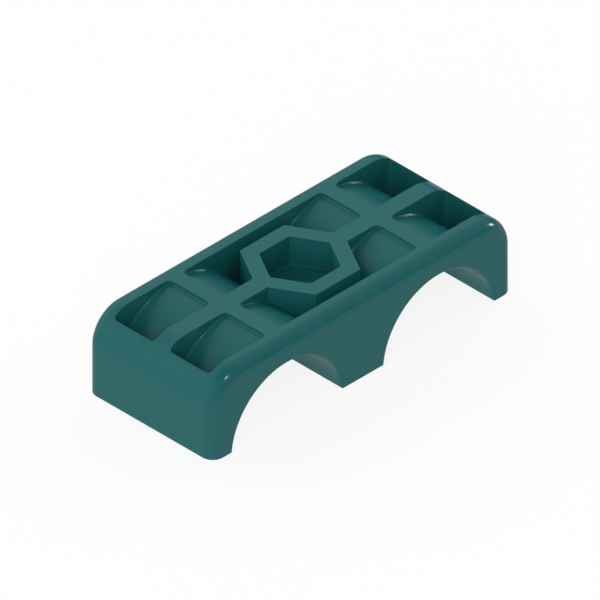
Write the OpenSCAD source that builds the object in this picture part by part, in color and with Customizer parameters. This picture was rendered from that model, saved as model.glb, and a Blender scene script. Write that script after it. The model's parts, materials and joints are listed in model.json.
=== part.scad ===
// One half of a block clamp for two pipes, moulded in one piece.
// The clamp closes on the flat face at z = 0. The pipes lie along Y in the two seats,
// and the long side runs along X. Six pockets and a hexagonal one open upwards.
// Lengths are in millimetres. The origin is the centre of the closing face.

/* [Body] */

// Length over both ends, along X
body_l = 71.4; // [70.6:0.1:73.4]

// Width along the pipes, along Y
body_w = 30; // [29:0.5:40]

// Height from the closing face to the top face
body_h = 16.5; // [16.2:0.1:19]

// Radius of the long top edges and of the edges that run on round both ends
edge_r = 2.4; // [1:0.1:3]

// Radius with which the top face rolls over into each end face
end_r = 7; // [4:0.5:9]

/* [Pipe seats] */

// Distance between the two pipe axes
pitch = 36; // [35.2:0.1:36.8]

// Outside diameter of the pipe that a seat takes
pipe_d = 26; // [19:0.1:26.4]

// Depth of the pipe axes below the closing face, half the gap between two clamped halves
seat_drop = 1.2; // [0.8:0.1:2]

// Radius on all edges of the seats
seat_edge_r = 0.4; // [0.2:0.1:0.7]

/* [Top pockets] */

// Thickness of the two long side walls
side_wall = 3.5; // [2.6:0.1:4.5]

// Thickness of the two end walls
end_wall = 2.8; // [2:0.1:3.4]

// Width of the rib along the middle
mid_rib = 3.5; // [2:0.1:5]

// Width of the two ribs that run across, above the pipe seats
cross_rib = 3; // [2:0.1:5]

// Radius of the pocket corners in plan
pocket_r = 0.9; // [0.6:0.1:1.5]

// Radius of the arched pocket floors
floor_r = 15.85; // [15.6:0.05:16.2]

// Depth of the crown of the arched floors below the top face
crown_depth = 0.65; // [0.6:0.05:1.2]

// Radius between the arched floors and the walls
floor_fillet = 0.3; // [0.2:0.05:0.5]

// Height of the flat floor in the valley between the two arched floors
valley_z = 4; // [3:0.5:6]

/* [Hexagonal boss] */

// Width of the hexagonal pocket across its flats
hex_af = 12.3; // [11:0.1:13.5]

// Wall around the hexagonal pocket
hex_wall = 2.9; // [2.2:0.1:3.1]

// Depth of the hexagonal pocket below the top face
hex_depth = 5.7; // [3:0.1:7]

// Radius between the floor and the walls of the hexagonal pocket
hex_fillet = 0.2; // [0.1:0.1:0.8]

/* [Hidden] */

// smoothness of all curves
$fn = 96;

// how far cutting shapes reach past the faces that they cut
over = 1;

seat_r = pipe_d / 2;
seat_x = pitch / 2;
side_y = body_w / 2;
end_x = body_l / 2;

// the straight middle of the body ends where the end radius begins
roll_x = end_x - end_r;
roll_z = body_h - end_r;

// the axes of the arched floors lie above or below the closing face
floor_z = body_h - crown_depth - floor_r;

// plan limits of the pockets
pocket_y0 = mid_rib / 2;
pocket_y1 = side_y - side_wall;
mid_x = seat_x - cross_rib / 2;
end_x0 = seat_x + cross_rib / 2;
end_x1 = end_x - end_wall;
hex_outer_af = hex_af + 2 * hex_wall;

// fillets along an arched floor: distance of their centres from its axis, the share of
// that distance at which they touch the floor, and how deep their sections reach
fillet_orbit = floor_r + floor_fillet;
touch = floor_r / fillet_orbit;
fillet_foot = valley_z - floor_z - over;

// from the axis of an arched floor to the end wall, and to its fillet in the valley
end_dx = end_x1 - seat_x;
valley_dx = sqrt(pow(fillet_orbit, 2) - pow(valley_z + floor_fillet - floor_z, 2));

// circumscribed radius of a hexagon from its width across flats
function hex_r(af) = af / 2 / cos(30);

// rectangle from one corner to the other with four round corners
module round_rect(x0, y0, x1, y1, r) {
    translate([x0 + r, y0]) square([x1 - x0 - 2 * r, y1 - y0]);
    translate([x0, y0 + r]) square([x1 - x0, y1 - y0 - 2 * r]);
    for (x = [x0 + r, x1 - r]) {
        for (y = [y0 + r, y1 - r]) {
            translate([x, y]) circle(r);
        }
    }
}

// the outer strip of an end in plan, with its two outer corners round
module end_strip() {
    translate([0, -side_y]) square([end_r - edge_r, body_w]);
    translate([0, edge_r - side_y]) square([end_r, body_w - 2 * edge_r]);
    for (y = [edge_r - side_y, side_y - edge_r]) {
        intersection() {
            translate([end_r - edge_r, y]) circle(edge_r);
            translate([0, -side_y]) square([end_r, body_w]);
        }
    }
}

// cross-section of the middle of the body, with its two top corners round
module mid_section() {
    translate([-side_y, 0]) square([body_w, body_h - edge_r]);
    translate([edge_r - side_y, 0]) square([body_w - 2 * edge_r, body_h]);
    for (y = [edge_r - side_y, side_y - edge_r]) {
        translate([y, body_h - edge_r]) circle(edge_r);
    }
}

// one end: an upright block, and above it the quarter turn from the top to the end face
module end_block() {
    translate([roll_x, 0, 0]) linear_extrude(roll_z) end_strip();
    translate([roll_x, 0, roll_z]) rotate([90, 0, 0]) rotate_extrude(angle = 90) end_strip();
}

module outer_body() {
    rotate([90, 0, 90]) linear_extrude(2 * roll_x, center = true) mid_section();
    end_block();
    mirror([1, 0, 0]) end_block();
}

// ring section that rounds the edge between a cylinder and a flat end face
module mouth_ring_section() {
    difference() {
        translate([seat_r - over, side_y - seat_edge_r])
            square([over + seat_edge_r, seat_edge_r + over]);
        translate([seat_r + seat_edge_r, side_y - seat_edge_r]) circle(seat_edge_r);
    }
}

// corner strip that rounds the edge between the seat and the closing face
module seat_foot_section() {
    cx = sqrt(pow(seat_r + seat_edge_r, 2) - pow(seat_drop + seat_edge_r, 2));
    ratio = seat_r / (seat_r + seat_edge_r);
    tx = cx * ratio;
    tz = (seat_drop + seat_edge_r) * ratio - seat_drop;
    difference() {
        polygon([[tx - over, tz], [tx, tz], [cx, seat_edge_r], [cx, -over], [tx - over, -over]]);
        translate([cx, seat_edge_r]) circle(seat_edge_r);
    }
}

// everything that is open around one pipe
module seat_cut() {
    translate([0, 0, -seat_drop]) rotate([90, 0, 0]) {
        cylinder(h = body_w + 2 * over, r = seat_r, center = true);
        rotate_extrude() mouth_ring_section();
        mirror([0, 0, 1]) rotate_extrude() mouth_ring_section();
    }
    rotate([90, 0, 0]) linear_extrude(body_w + 2 * over, center = true) {
        seat_foot_section();
        mirror([1, 0]) seat_foot_section();
    }
}

// section of the fillet between an arched floor and a wall plane across its axis
module floor_ring_section(y_wall, side) {
    cy = y_wall - side * floor_fillet;
    difference() {
        translate([floor_r - over, min(cy, y_wall + side * over)])
            square([over + floor_fillet, floor_fillet + over]);
        translate([fillet_orbit, cy]) circle(floor_fillet);
    }
}

// section of the fillet between an arched floor and an upright wall along its axis,
// with the wall dx beside the axis and the pocket on the side that open_to names
module floor_wall_section(dx, open_to) {
    cx = dx + open_to * floor_fillet;
    cz = sqrt(pow(fillet_orbit, 2) - pow(cx, 2));
    difference() {
        polygon([
            [dx - open_to * over, cz],
            [cx, cz],
            [cx * touch, cz * touch],
            [cx * touch, fillet_foot],
            [dx - open_to * over, fillet_foot]
        ]);
        translate([cx, cz]) circle(floor_fillet);
    }
}

// section of the fillet between an arched floor and the flat floor of the valley
module valley_section() {
    cz = valley_z + floor_fillet - floor_z;
    difference() {
        polygon([
            [valley_dx * touch - over, cz * touch],
            [valley_dx * touch, cz * touch],
            [valley_dx, cz],
            [valley_dx, fillet_foot],
            [valley_dx * touch - over, fillet_foot]
        ]);
        translate([valley_dx, cz]) circle(floor_fillet);
    }
}

// the arched floor over one seat with the fillets at its walls, at the seat on the +X side
module arched_floor() {
    translate([seat_x, 0, floor_z]) rotate([90, 0, 0]) {
        cylinder(h = body_w, r = floor_r, center = true);
        for (m = [0, 1]) {
            mirror([0, 0, m]) {
                rotate_extrude() floor_ring_section(pocket_y0, -1);
                rotate_extrude() floor_ring_section(pocket_y1, 1);
            }
        }
        linear_extrude(body_w, center = true) {
            floor_wall_section(cross_rib / 2, 1);
            mirror([1, 0]) floor_wall_section(cross_rib / 2, 1);
            mirror([1, 0]) valley_section();
            // the arch runs into the end wall, or on a longer body into a flat floor before it
            if (end_dx - floor_fillet < valley_dx) {
                floor_wall_section(end_dx, -1);
            } else {
                valley_section();
            }
        }
    }
}

// plan of one pocket between the two cross ribs, clear of the hexagonal boss
module mid_pocket_plan() {
    difference() {
        round_rect(-mid_x, pocket_y0, mid_x, pocket_y1, pocket_r);
        circle(hex_r(hex_outer_af), $fn = 6);
    }
}

// all six pockets, down to the valley floor
module pocket_prisms() {
    translate([0, 0, valley_z]) linear_extrude(body_h) {
        for (m = [0, 1]) {
            mirror([0, m]) {
                mid_pocket_plan();
                round_rect(end_x0, pocket_y0, end_x1, pocket_y1, pocket_r);
                mirror([1, 0]) round_rect(end_x0, pocket_y0, end_x1, pocket_y1, pocket_r);
            }
        }
    }
}

module pocket_cut() {
    difference() {
        pocket_prisms();
        arched_floor();
        mirror([1, 0, 0]) arched_floor();
    }
}

// one slab between two opposite flats of the hexagonal pocket, with its lower edges round
// and its upper edges clear above the top face
module hex_slab() {
    z0 = body_h - hex_depth;
    z1 = body_h + hex_fillet + over;
    rotate([90, 0, 0]) linear_extrude(2 * hex_outer_af, center = true) {
        round_rect(-hex_af / 2, z0, hex_af / 2, z1, hex_fillet);
    }
}

module hex_cut() {
    intersection() {
        rotate([0, 0, 90]) hex_slab();
        rotate([0, 0, 30]) hex_slab();
        rotate([0, 0, -30]) hex_slab();
    }
}

module clamp_half() {
    color([0.05, 0.42, 0.42]) difference() {
        outer_body();
        translate([seat_x, 0, 0]) seat_cut();
        translate([-seat_x, 0, 0]) seat_cut();
        pocket_cut();
        hex_cut();
    }
}

clamp_half();
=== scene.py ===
import json
import math

import bpy
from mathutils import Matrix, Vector

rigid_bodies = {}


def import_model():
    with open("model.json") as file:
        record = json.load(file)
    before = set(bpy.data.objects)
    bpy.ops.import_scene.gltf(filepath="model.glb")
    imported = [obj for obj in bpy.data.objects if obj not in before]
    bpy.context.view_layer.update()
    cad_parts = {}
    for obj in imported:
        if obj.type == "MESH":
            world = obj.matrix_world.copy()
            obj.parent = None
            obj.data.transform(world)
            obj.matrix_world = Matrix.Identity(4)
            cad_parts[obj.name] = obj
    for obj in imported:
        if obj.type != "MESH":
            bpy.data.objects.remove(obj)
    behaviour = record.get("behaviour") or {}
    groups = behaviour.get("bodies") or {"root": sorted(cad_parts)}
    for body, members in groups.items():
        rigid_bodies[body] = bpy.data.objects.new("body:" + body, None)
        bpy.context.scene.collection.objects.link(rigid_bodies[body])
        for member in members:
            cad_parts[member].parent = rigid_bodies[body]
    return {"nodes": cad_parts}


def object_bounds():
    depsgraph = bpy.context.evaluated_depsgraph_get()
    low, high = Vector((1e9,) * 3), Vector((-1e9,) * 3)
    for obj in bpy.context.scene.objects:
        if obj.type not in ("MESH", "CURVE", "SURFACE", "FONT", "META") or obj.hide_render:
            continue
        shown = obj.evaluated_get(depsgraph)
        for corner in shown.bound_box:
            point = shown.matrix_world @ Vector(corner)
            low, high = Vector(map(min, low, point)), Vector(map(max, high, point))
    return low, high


for leftover in list(bpy.data.objects):
    bpy.data.objects.remove(leftover)

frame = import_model()
cad_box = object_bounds()
clamp = frame["nodes"]["clamp_half"]
scene = bpy.context.scene
scene.view_settings.view_transform = "Standard"

# lengths are in metres
MM = 0.001

WHITE = (1.0, 1.0, 1.0, 1.0)

# the middle of the clamp, which the camera and the small lamps look at
middle = (Vector(cad_box[0]) + Vector(cad_box[1])) / 2


# small helpers

def add(name, data):
    """Puts a new object into the scene."""
    ob = bpy.data.objects.new(name, data)
    scene.collection.objects.link(ob)
    return ob


def looking_from(way):
    """Rotation of a camera or lamp that stands on the side of way and looks back."""
    return (-way).to_track_quat("-Z", "Y").to_euler()


def empty_tree(owner):
    """The node tree of a material or world, with no nodes in it."""
    owner.use_nodes = True
    owner.node_tree.nodes.clear()
    return owner.node_tree


# how far apart the nodes lie in the node editor
NODE_STEP = 200


def node(tree, kind, **settings):
    """New node, to the right of those that the tree already has."""
    n = tree.nodes.new(kind)
    n.location.x = NODE_STEP * len(tree.nodes)
    for key, value in settings.items():
        setattr(n, key, value)
    return n


def feed(tree, value, socket):
    """Links a socket to the value, or sets the value itself."""
    if isinstance(value, bpy.types.NodeSocket):
        tree.links.new(value, socket)
    else:
        socket.default_value = value


def maths(tree, operation, *values):
    n = node(tree, "ShaderNodeMath", operation=operation)
    for value, socket in zip(values, n.inputs):
        feed(tree, value, socket)
    return n.outputs["Value"]


# a noise has most of its values between these two
NOISE_LOW = 0.3
NOISE_HIGH = 0.7


def noise(tree, coords, per_mm, detail, rough):
    """Noise with about per_mm cells in each millimetre of the object."""
    n = node(tree, "ShaderNodeTexNoise")
    feed(tree, per_mm / MM, n.inputs["Scale"])
    feed(tree, detail, n.inputs["Detail"])
    feed(tree, rough, n.inputs["Roughness"])
    feed(tree, coords, n.inputs["Vector"])
    return n.outputs["Fac"]


def span(tree, value, low, high):
    """Maps the middle of a noise to the span from low to high."""
    n = node(tree, "ShaderNodeMapRange")
    feed(tree, NOISE_LOW, n.inputs["From Min"])
    feed(tree, NOISE_HIGH, n.inputs["From Max"])
    feed(tree, low, n.inputs["To Min"])
    feed(tree, high, n.inputs["To Max"])
    feed(tree, value, n.inputs["Value"])
    return n.outputs["Result"]


def blend_colour(tree, factor, first, second):
    n = node(tree, "ShaderNodeMix", data_type="RGBA")
    feed(tree, factor, n.inputs["Factor"])
    for value, name in ((first, "A"), (second, "B")):
        colour_socket = [s for s in n.inputs if s.name == name and s.type == "RGBA"][0]
        feed(tree, value, colour_socket)
    return [s for s in n.outputs if s.type == "RGBA"][0]


# the moulded plastic of the clamp

PLASTIC_IOR = 1.46

# pigment in linear colour: the two ends of the slow drift
TEAL_DEEP = (0.0110, 0.115, 0.117, 1.0)
TEAL_PALE = (0.0121, 0.122, 0.124, 1.0)

# the colour that the specks lean to, and how far at most
TEAL_SPECK = (0.014, 0.14, 0.142, 1.0)
SPECK_MOST = 0.1

# roughness of the polished mould and of its duller patches
POLISHED = 0.15
DULLER = 0.21

# cells in each millimetre, detail and roughness of the four noises
MELT_DRIFT = (0.05, 3.0, 0.5)
FINE_SPECKLE = (6.0, 1.0, 0.5)
SOFT_PATCHES = (0.12, 4.0, 0.6)
ORANGE_PEEL = (1.6, 3.0, 0.55)

# strength and depth of the orange peel as bump
PEEL_STRENGTH = 0.35
PEEL_DEPTH = 0.004 * MM


def moulded_plastic():
    mat = bpy.data.materials.new("moulded_plastic_teal")
    tree = empty_tree(mat)
    here = node(tree, "ShaderNodeTexCoord").outputs["Object"]

    # pigment: slow drift of the melt and a faint fine speckle
    drift = noise(tree, here, *MELT_DRIFT)
    speck = span(tree, noise(tree, here, *FINE_SPECKLE), 0.0, SPECK_MOST)
    melt = blend_colour(tree, drift, TEAL_DEEP, TEAL_PALE)
    pigment = blend_colour(tree, speck, melt, TEAL_SPECK)

    # gloss: polished mould, a little duller in soft patches
    roughness = span(tree, noise(tree, here, *SOFT_PATCHES), POLISHED, DULLER)

    # very fine orange peel of the polished mould
    bump = node(tree, "ShaderNodeBump")
    feed(tree, PEEL_STRENGTH, bump.inputs["Strength"])
    feed(tree, PEEL_DEPTH, bump.inputs["Distance"])
    feed(tree, noise(tree, here, *ORANGE_PEEL), bump.inputs["Height"])

    skin = node(tree, "ShaderNodeBsdfPrincipled")
    feed(tree, PLASTIC_IOR, skin.inputs["IOR"])
    feed(tree, pigment, skin.inputs["Base Color"])
    feed(tree, roughness, skin.inputs["Roughness"])
    feed(tree, bump.outputs["Normal"], skin.inputs["Normal"])
    out = node(tree, "ShaderNodeOutputMaterial")
    feed(tree, skin.outputs["BSDF"], out.inputs["Surface"])
    return mat


clamp.data.materials.clear()
clamp.data.materials.append(moulded_plastic())


# the camera: a parallel view from the front left corner, as steep as in the photo

# width of the photo in pixels, and its scale
PHOTO_WIDTH = 600
PHOTO_PX_PER_MM = 5.9606

# along the diagonal of a cube, so all three axes look equally long
CAMERA_WAY = (-1.0, -1.0, 1.0)
CAMERA_DISTANCE = 0.5
CAMERA_NEAR = 0.01
CAMERA_FAR = 10.0


def parallel_camera():
    data = bpy.data.cameras.new("camera")
    data.type = "ORTHO"
    data.ortho_scale = PHOTO_WIDTH / PHOTO_PX_PER_MM * MM
    data.clip_start = CAMERA_NEAR
    data.clip_end = CAMERA_FAR
    ob = add("camera", data)
    way = Vector(CAMERA_WAY).normalized()
    ob.location = middle + way * CAMERA_DISTANCE
    ob.rotation_euler = looking_from(way)
    scene.camera = ob


parallel_camera()


# the pale floor

# how far it reaches to each side, and how far below the clamp it lies
FLOOR_REACH = 2.0
FLOOR_GAP = 0.02 * MM
FLOOR_COLOUR = (0.8, 0.8, 0.8, 1.0)

# its glow as seen by the camera, by the gloss and by the diffuse light of the clamp
FLOOR_GLOW = (1.03, 0.33, 0.81)

# the share of that glow for each of the three, the rest being the lit floor with its shadow
FLOOR_GLOW_SHARE = (0.84, 1.0, 1.0)


def by_ray(tree, camera, glossy, diffuse):
    """One value for camera rays, one for glossy rays and one for diffuse rays."""
    path = node(tree, "ShaderNodeLightPath")
    values = {"Is Camera Ray": camera, "Is Glossy Ray": glossy, "Is Diffuse Ray": diffuse}
    total = 0.0
    for kind, value in values.items():
        total = maths(tree, "MULTIPLY_ADD", path.outputs[kind], value, total)
    return total


def mix_shaders(tree, factor, first, second):
    mix = node(tree, "ShaderNodeMixShader")
    feed(tree, factor, mix.inputs["Fac"])
    feed(tree, first, mix.inputs[1])
    feed(tree, second, mix.inputs[2])
    return mix.outputs["Shader"]


def floor_material():
    """White to the camera with a faint shadow, plain levels to the clamp, clear from below."""
    mat = bpy.data.materials.new("floor_pale")
    mat.cycles.emission_sampling = "NONE"
    tree = empty_tree(mat)
    matt = node(tree, "ShaderNodeBsdfDiffuse")
    feed(tree, FLOOR_COLOUR, matt.inputs["Color"])
    glow = node(tree, "ShaderNodeEmission")
    feed(tree, by_ray(tree, *FLOOR_GLOW), glow.inputs["Strength"])
    share = by_ray(tree, *FLOOR_GLOW_SHARE)
    top = mix_shaders(tree, share, matt.outputs["BSDF"], glow.outputs["Emission"])

    # one-sided, so that the clamp can also be seen from below
    from_below = node(tree, "ShaderNodeNewGeometry").outputs["Backfacing"]
    clear = node(tree, "ShaderNodeBsdfTransparent").outputs["BSDF"]
    out = node(tree, "ShaderNodeOutputMaterial")
    feed(tree, mix_shaders(tree, from_below, top, clear), out.inputs["Surface"])
    return mat


def pale_floor():
    mesh = bpy.data.meshes.new("floor")
    corners = [(x * FLOOR_REACH, y * FLOOR_REACH, 0) for x, y in ((-1, -1), (1, -1), (1, 1), (-1, 1))]
    mesh.from_pydata(corners, [], [(0, 1, 2, 3)])
    mesh.materials.append(floor_material())
    ob = add("floor", mesh)
    ob.location.z = -FLOOR_GAP


pale_floor()


# the light

# the studio in reflections: sine of the elevation, and strength
REFLECTED_BAND = (
    (0.02, 0.0),
    (0.13, 0.17),
    (0.25, 0.25),
    (0.46, 0.32),
    (0.6, 0.34),
    (0.7, 0.28),
    (0.85, 0.22),
    (0.95, 0.12),
    (1.0, 0.04),
)

# the band leans down towards -X and grows brighter towards +Y
BAND_LEAN = -0.2
BAND_BRIGHTER = 0.67

# soft boxes round the clamp: azimuth, elevation and width in degrees, and strength
SOFT_BOXES = (
    (0, 10, 90, 3.1),
    (90, 10, 90, 4.0),
    (206, 30, 60, 1.9),
)

# small lamps: name, way to them, diameter in metres, watts, and whether only the gloss shows them
LAMPS = (
    ("lamp_front", (-0.12, -0.68, 0.72), 0.16, 1.1, False),
    ("lamp_right", (0.92, -0.30, 0.25), 0.19, 1.7, True),
)
LAMP_DISTANCE = 1.0


def reflected_band(tree):
    """A dim band of studio wall and ceiling, dark at the horizon and straight above."""
    coords = node(tree, "ShaderNodeTexCoord").outputs["Generated"]
    split = node(tree, "ShaderNodeSeparateXYZ")
    feed(tree, coords, split.inputs["Vector"])
    across, along, up = split.outputs
    leant = maths(tree, "MULTIPLY_ADD", across, BAND_LEAN, up)
    tilt = maths(tree, "MULTIPLY_ADD", along, BAND_BRIGHTER, 1.0)
    ramp = node(tree, "ShaderNodeValToRGB")
    stops = ramp.color_ramp.elements
    while len(stops) < len(REFLECTED_BAND):
        stops.new(1.0)
    for stop, (height, strength) in zip(stops, REFLECTED_BAND):
        stop.position = height
        stop.color = (strength, strength, strength, 1.0)
    feed(tree, leant, ramp.inputs["Fac"])
    return maths(tree, "MULTIPLY", ramp.outputs["Color"], tilt)


def studio_world():
    """White to the camera, the dim band to the gloss, and dark to all other rays."""
    world = bpy.data.worlds.new("studio")
    world.cycles.sampling_method = "NONE"
    scene.world = world
    tree = empty_tree(world)
    path = node(tree, "ShaderNodeLightPath")
    gloss = maths(tree, "MULTIPLY", reflected_band(tree), path.outputs["Is Glossy Ray"])
    back = node(tree, "ShaderNodeBackground")
    feed(tree, WHITE, back.inputs["Color"])
    feed(tree, maths(tree, "ADD", gloss, path.outputs["Is Camera Ray"]), back.inputs["Strength"])
    out = node(tree, "ShaderNodeOutputWorld")
    feed(tree, back.outputs["Background"], out.inputs["Surface"])


def soft_box(azimuth, elevation, width, strength):
    """Wide soft light from one side, kept out of the gloss."""
    name = f"soft_box_{azimuth}"
    data = bpy.data.lights.new(name, "SUN")
    data.angle = math.radians(width)
    data.energy = strength
    turn = math.radians(azimuth)
    rise = math.radians(elevation)
    way = Vector((math.cos(rise) * math.cos(turn), math.cos(rise) * math.sin(turn), math.sin(rise)))
    ob = add(name, data)
    ob.rotation_euler = looking_from(way)
    ob.visible_glossy = False


def lamp(name, way, diameter, watts, only_gloss):
    """Small round lamp that makes a bright spot in the gloss."""
    data = bpy.data.lights.new(name, "AREA")
    data.shape = "DISK"
    data.size = diameter
    data.energy = watts
    way = Vector(way).normalized()
    ob = add(name, data)
    ob.location = middle + way * LAMP_DISTANCE
    ob.rotation_euler = looking_from(way)
    ob.visible_diffuse = not only_gloss


studio_world()
for box in SOFT_BOXES:
    soft_box(*box)
for small_lamp in LAMPS:
    lamp(*small_lamp)
